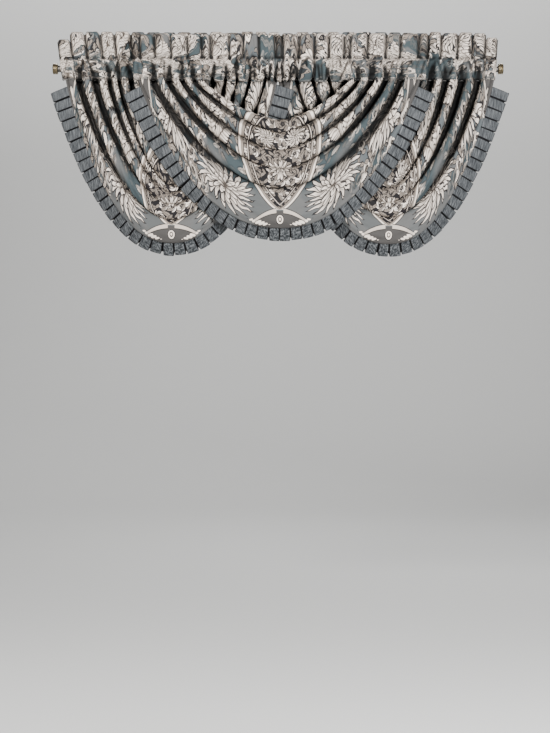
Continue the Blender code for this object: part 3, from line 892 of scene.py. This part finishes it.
def straps_and_drop(graph, x, z, reach, under):
    """Straps with a dark edge, and under the point two arms over a darker ground, low leaves and a drop."""
    colour = under
    for offset, half, face in ((0.0, 9.5, BEIGE), (-27.0, 2.2, TAUPE)):
        colour = graph.mix(band(reach - offset, half + 2.8), colour, CHARCOAL)
        colour = graph.mix(band(reach - offset, half), colour, face)
        colour = graph.mix(band(reach - offset - half * 0.4, half * 0.38), colour, CREAM)
    arm = z - 75.0 + x * x * 0.0052
    under_arm = cover(arm * -1.0, 1.5) * cover(102.0 - x, 2.0)
    colour = graph.mix(under_arm, colour, TAUPE_GREY)
    serrated = abs(graph.math("SINE", x * 0.19 + z * 0.2)) * 6.0
    low = (z - 15.0 - x * 0.05) * 0.9
    low_leaf = serrated + 4.0 - (x - 84.0) * (x - 84.0) * 0.0046 - abs(low)
    colour = graph.mix(cover(low_leaf + 2.0, 1.5), colour, CHARCOAL)
    colour = graph.mix(cover(low_leaf, 1.5), colour, CREAM)
    along_arm = cover(x - 14.0, 2.0) * cover(100.0 - x, 2.0)
    thick = graph.math("MULTIPLY_ADD", x, -0.03, 7.5)
    arm_side = abs(arm * 0.85)
    colour = graph.mix(cover(thick + 2.6 - arm_side, 1.5) * along_arm, colour, CHARCOAL)
    colour = graph.mix(cover(thick - arm_side, 1.5) * along_arm, colour, graph.mix(0.5, BEIGE, CREAM))
    above = graph.math("MAXIMUM", z - 42.0, 0.0)
    far = graph.math("SQRT", x * x * 1.5 + (z - 42.0) * (z - 42.0) * 0.6) + above * above * 0.016
    for half, face in ((18.5, CHARCOAL), (15.5, CREAM), (9.5, TAUPE), (4.5, CREAM)):
        colour = graph.mix(cover(half - far, 1.2), colour, face)
    return colour


def damask(name, straps=True):
    """Grey and teal ground, dark ogee compartments between straps, feathery cream leaves, small foliage."""
    graph = Graph(name)
    flat = graph.cloth_places()
    moved = graph.vector("MULTIPLY_ADD", graph.noise(flat, 22.0, 1.0, outlet=1), (0.020, 0.020, 0.0), flat)
    along, up = graph.pair("ShaderNodeSeparateXYZ", Vector=flat)
    moved_along, moved_up = graph.pair("ShaderNodeSeparateXYZ", Vector=moved)
    x = graph.math("PINGPONG", along * PER_METRE, PATTERN_REPEAT[0])
    z = graph.math("FLOORED_MODULO", up * PER_METRE, PATTERN_REPEAT[1])
    soft_x = graph.math("PINGPONG", moved_along * PER_METRE - 10.0, PATTERN_REPEAT[0])
    soft_z = graph.math("FLOORED_MODULO", moved_up * PER_METRE - 10.0, PATTERN_REPEAT[1])

    clouds = graph.noise(flat, 7.0, 1.0)
    plain = cover(clouds - 0.56, 0.04)
    ground = graph.mix(cover(clouds - 0.55, 0.06), GREY, TEAL)
    ground = graph.mix(cover(0.44 - clouds, 0.06), ground, BLUE_GREY)

    from_middle = abs(along * PER_METRE)
    grow = 1.0 if straps else 1.55
    if straps:
        reach = compartment(graph, x, z)
        inside = cover(reach * -1.0, 2.0)
        panel = cover(215.0 - z, 30.0) * cover(330.0 - from_middle, 40.0) * (1.0 - inside)
        ground = graph.mix(panel * 0.7, ground, GREY)
        open_share = (1.0 - panel) * (1.0 - plain * (1.0 - inside) * 0.6)
    else:
        inside = cover(0.36 - clouds, 0.04) * 0.7
        open_share = 1.0 - plain * 0.85
    teal_band = cover(z - 140.0, 25.0) * cover(335.0 - z, 30.0)
    teal_band = teal_band * cover(240.0 - from_middle, 40.0)
    colour = graph.mix(teal_band, ground, TEAL)
    colour = graph.mix(inside, colour, CHARCOAL)

    # Small foliage, dense in the compartments and none on the plain panel
    leaf, edge, vein, chance = leaves(graph, flat, 50.0 * grow, 25.0 * grow, 9.0 * grow, 3.1)
    shown = graph.math("MAXIMUM", cover(chance - 0.12, 0.02), inside) * open_share
    tint = graph.mix(cover(chance - 0.6, 0.2), BEIGE, CREAM)
    colour = graph.mix(edge * shown * 0.95, colour, CHARCOAL)
    colour = graph.mix(leaf * shown, colour, graph.mix(vein, tint, TAUPE))
    petals, shade, chance = florets(graph, flat, 46.0 * grow, 5.3)
    shown = graph.math("MAXIMUM", cover(chance - 0.35, 0.02), inside) * open_share
    tint = graph.mix(cover(chance - 0.6, 0.2), BEIGE, CREAM)
    colour = graph.mix(petals * shown, colour, graph.mix(shade, CHARCOAL, tint))
    leaf, edge, vein, chance = leaves(graph, flat, 27.0 * grow, 14.0 * grow, 5.0 * grow, 7.7)
    shown = graph.math("MAXIMUM", cover(chance - 0.45, 0.02), inside * 0.9) * open_share
    colour = graph.mix(edge * shown * 0.8, colour, CHARCOAL)
    colour = graph.mix(leaf * shown, colour, graph.mix(vein, BEIGE, CHARCOAL))

    if straps:
        colour = straps_and_drop(graph, x, z, reach, colour)

    # Feathery leaves and flowers
    for spot, turn, sizes, barbs in FEATHERS:
        colour = feather(graph, soft_x, soft_z, spot, turn, sizes, barbs, colour)
    for spot, sizes, turn, swirl, rings in FLOWERS:
        colour = flower(graph, soft_x, soft_z, spot, sizes, turn, rings, swirl, colour)

    # Weave: fine ribs and threads, the light figure a little glossier
    light = Term(graph, graph.node("ShaderNodeSeparateColor", Color=colour))
    figure = cover(light - 0.24, 0.12)
    ribs = graph.math("SINE", up * (2 * pi / 0.0013))
    threads = graph.noise(flat, 420.0, 2.0)
    colour = graph.mix(threads * 0.30, colour, graph.mix(0.5, colour, CHARCOAL))
    # Painted shade: the folds' valleys, slits and stitched crease darkened nearly to black
    colour = graph.mix(painted_fold_shade(graph) * 0.98, colour, DEEP_SHADE)
    graph.paint(colour, 0.66 - figure * 0.18 + threads * 0.10)
    graph.bump(ribs * 0.3 + threads, 0.45, 0.0005)
    graph.shader.inputs["Specular IOR Level"].default_value = 0.10
    return graph.material


def plain_back(name):
    """The cloth's wrong side: a dull plain weave with the figure only just showing."""
    graph = Graph(name)
    flat = graph.cloth_places()
    threads = graph.noise(flat, 420.0, 2.0)
    figure = cover(graph.noise(flat, 26.0, 3.0) - 0.52, 0.06)
    colour = graph.mix(figure, REVERSE_GROUND, REVERSE_FIGURE)
    graph.paint(graph.mix(threads * 0.45, colour, REVERSE_THREAD), threads * 0.15 + 0.74)
    graph.bump(threads, 0.45, 0.0005)
    return graph.material


def trim_weave(name):
    """A heathered plain weave, its threads drawn out down the pleats."""
    graph = Graph(name)
    flat = graph.cloth_places()
    threads = graph.noise(graph.node("ShaderNodeMapping", Vector=flat, Scale=(170.0, 90.0, 1.0)), 1.0, 3.0)
    clouds = graph.noise(flat, 70.0, 2.0)
    colour = graph.mix(cover(threads - 0.5, 0.16), TRIM_DARK, TRIM_LIGHT)
    colour = graph.mix(cover(clouds - 0.55, 0.16) * 0.65, colour, TRIM_DARK)
    # Painted shade in the grooves between the pleats
    graph.paint(graph.mix(painted_fold_shade(graph) * 0.97, colour, TRIM_SHADE), threads * 0.15 + 0.72)
    graph.bump(threads, 0.5, 0.0008)
    graph.shader.inputs["Specular IOR Level"].default_value = 0.15
    graph.shader.inputs["Sheen Weight"].default_value = 0.04
    return graph.material


def metal(name, light, dark, roughness):
    graph = Graph(name)
    place = graph.node("ShaderNodeTexCoord", outlet=3)
    wear = graph.node("ShaderNodeTexNoise", Vector=place, Scale=180.0, Detail=3.0)
    graph.paint(graph.mix(wear, dark, light), Term(graph, wear) * 0.25 + roughness)
    graph.shader.inputs["Metallic"].default_value = 1.0
    graph.bump(wear, 0.15, 0.0002)
    return graph.material


def add_cap(name, side, material):
    """A turned end cap with rounded ribs and a socket for the rod."""
    length = CAP_OUTER - CAP_INNER
    profile = [(CAP_OUTER, 0.0), (CAP_OUTER, CAP_RADIUS - 2.6 * MM)]
    steps = 12 * CAP_RIBS
    for step in range(steps + 1):
        share = step / steps
        wave = 0.5 - 0.5 * cos(2 * pi * CAP_RIBS * share)
        profile.append((CAP_OUTER - share * length, CAP_RADIUS - CAP_GROOVE * (1.0 - wave ** 0.6)))
    socket = ROD_RADIUS + SOCKET_GAP
    floor = ROD_END + SOCKET_GAP
    profile += [(CAP_INNER, socket), (floor, socket), (floor, 0.0)]
    bm = bmesh.new()
    points = [bm.verts.new((x * side, 0.0, radius)) for x, radius in profile]
    for first, second in zip(points, points[1:]):
        bm.edges.new((first, second))
    bmesh.ops.spin(
        bm, geom=bm.verts[:] + bm.edges[:], cent=(0.0, 0.0, 0.0), axis=(1.0, 0.0, 0.0),
        angle=2 * pi, steps=CAP_SIDES, use_merge=True,
    )
    bmesh.ops.remove_doubles(bm, verts=bm.verts, dist=0.00001)
    bmesh.ops.recalc_face_normals(bm, faces=bm.faces)
    for face in bm.faces:
        face.smooth = abs(face.normal.x) < 0.95
    piece = add_mesh(name, bm, (material,))
    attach(piece, "root")
    return piece


# The set


def build_valance(side, valance, cloth, top_cloth, weave):
    points, along, up, shades = drape(valance)
    hem = to_metres(points[-1])
    wide = tucked(points)
    wide_along = np.concatenate([along[:, :1] - TUCK, along, along[:, -1:] + TUCK], axis=1)
    wide_up = np.concatenate([up[:, :1], up, up[:, -1:]], axis=1)
    wide_shades = np.concatenate([shades[:, :1], shades, shades[:, -1:]], axis=1)
    places = (wide_along * MM, wide_up * MM)
    body = add_sheet("body_" + side, to_metres(wide), places, wide_shades, cloth, BODY_CLOTH, turned=True)
    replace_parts(body, "swag_" + side)

    ends = np.concatenate([points[:, 0], points[:, -1]])
    order = np.argsort(ends[:, 0])
    seam_shades = np.concatenate([shades[:, 0], shades[:, -1]])[order]
    strip_points, strip_shades = heading(valance, ends[order], seam_shades)
    strip_along, strip_up = flat_places(strip_points)
    strip_up = strip_up[0].mean() - strip_up + valance["pattern_shift"]
    places = (strip_along * MM, strip_up * MM)
    strip = add_sheet("head_" + side, to_metres(strip_points), places, strip_shades, top_cloth, BODY_CLOTH)
    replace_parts(strip, "heading_" + side)

    edge_points = trim(valance, hem)
    edge_along, edge_up = flat_places(edge_points)
    # Painted shade on the grooves between pleats and on the pleat edges beside them
    groove_shade = np.array([level < 0.75 for _, level in PLEAT_FACE], float)
    edge_shades = np.tile(groove_shade, (TRIM_ROWS + 1, edge_points.shape[1] // len(PLEAT_FACE)))
    edge = add_sheet("frill_" + side, edge_points, (edge_along, edge_up), edge_shades, weave, TRIM_CLOTH)
    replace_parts(edge, "trim_" + side)


def aim(thing, spot):
    thing.rotation_euler = (Vector(spot) - thing.location).to_track_quat("-Z", "Y").to_euler()


def add_light(name, spot, target, size, power, colour=(1.0, 1.0, 1.0)):
    data = bpy.data.lights.new(name, "AREA")
    data.shape = "RECTANGLE"
    data.size, data.size_y = size
    data.energy = power
    data.color = colour
    light = bpy.data.objects.new(name, data)
    light.location = spot
    bpy.context.scene.collection.objects.link(light)
    aim(light, target)


def studio():
    """A pale floor that sweeps up behind, soft lights and the camera."""
    profile = [(-12.0, FLOOR_Z), (SWEEP_START, FLOOR_Z)]
    for turn in np.linspace(0.15, pi / 2, 9):
        profile.append((SWEEP_START + SWEEP_RADIUS * sin(turn), FLOOR_Z + SWEEP_RADIUS * (1.0 - cos(turn))))
    profile.append((SWEEP_START + SWEEP_RADIUS, 9.0))
    bm = bmesh.new()
    rows = [[bm.verts.new((x, y, z)) for y, z in profile] for x in (-14.0, 14.0)]
    for index in range(len(profile) - 1):
        face = bm.faces.new((rows[0][index], rows[1][index], rows[1][index + 1], rows[0][index + 1]))
        face.smooth = True
    graph = Graph("studio_paint")
    graph.paint((0.60, 0.60, 0.59, 1.0), 0.9)
    floor = add_mesh("studio_floor", bm, (graph.material,))

    target = (0.0, 0.0, -0.3)
    add_light("left", (-1.8, -3.7, 1.3), target, (1.0, 0.7), 290.0, (1.0, 0.985, 0.965))
    add_light("right", (1.9, -3.8, -0.5), target, (1.0, 0.7), 258.0, (0.985, 0.99, 1.0))
    add_light("rear", (1.6, 4.2, 2.6), target, (1.8, 1.2), 240.0)
    add_light("backdrop", (0.0, 6.4, 4.6), (0.0, 9.5, 0.0), (9.0, 1.5), 420.0)
    world = bpy.data.worlds.new("studio")
    world.use_nodes = True
    world.node_tree.nodes["Background"].inputs["Color"].default_value = (0.90, 0.92, 0.95, 1.0)
    world.node_tree.nodes["Background"].inputs["Strength"].default_value = 0.06
    bpy.context.scene.world = world

    camera = bpy.data.objects.new("camera", bpy.data.cameras.new("camera"))
    camera.data.sensor_width = SENSOR
    camera.data.lens = SENSOR * CAMERA_DISTANCE / (IMAGE_HEIGHT * PIXEL)
    camera.location = (
        (IMAGE_WIDTH / 2 - ROD_MIDDLE_PIXEL[0]) * PIXEL,
        -CAMERA_DISTANCE,
        (ROD_MIDDLE_PIXEL[1] - IMAGE_HEIGHT / 2) * PIXEL,
    )
    camera.rotation_euler = (radians(90.0), 0.0, 0.0)
    bpy.context.scene.collection.objects.link(camera)
    bpy.context.scene.camera = camera


reverse = plain_back("damask_reverse")
cloth = (damask("damask_cloth"), reverse)
top_cloth = (damask("damask_heading", straps=False), reverse)
weave = (trim_weave("trim_cloth"),)
brass = metal("aged_brass", (0.46, 0.40, 0.28), (0.20, 0.16, 0.10), 0.28)
steel = metal("rod_steel", (0.14, 0.13, 0.12), (0.06, 0.055, 0.05), 0.35)

for side, valance in VALANCES.items():
    build_valance(side, valance, cloth, top_cloth, weave)
for name, sign in (("cap_left", -1.0), ("cap_right", 1.0)):
    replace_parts(add_cap("finial" + name[3:], sign, brass), name)
for name in ("rod_back", "rod_front"):
    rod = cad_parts[name]
    for place in rod.material_slots:
        place.material = steel
    for face in rod.data.polygons:
        face.use_smooth = True

studio()
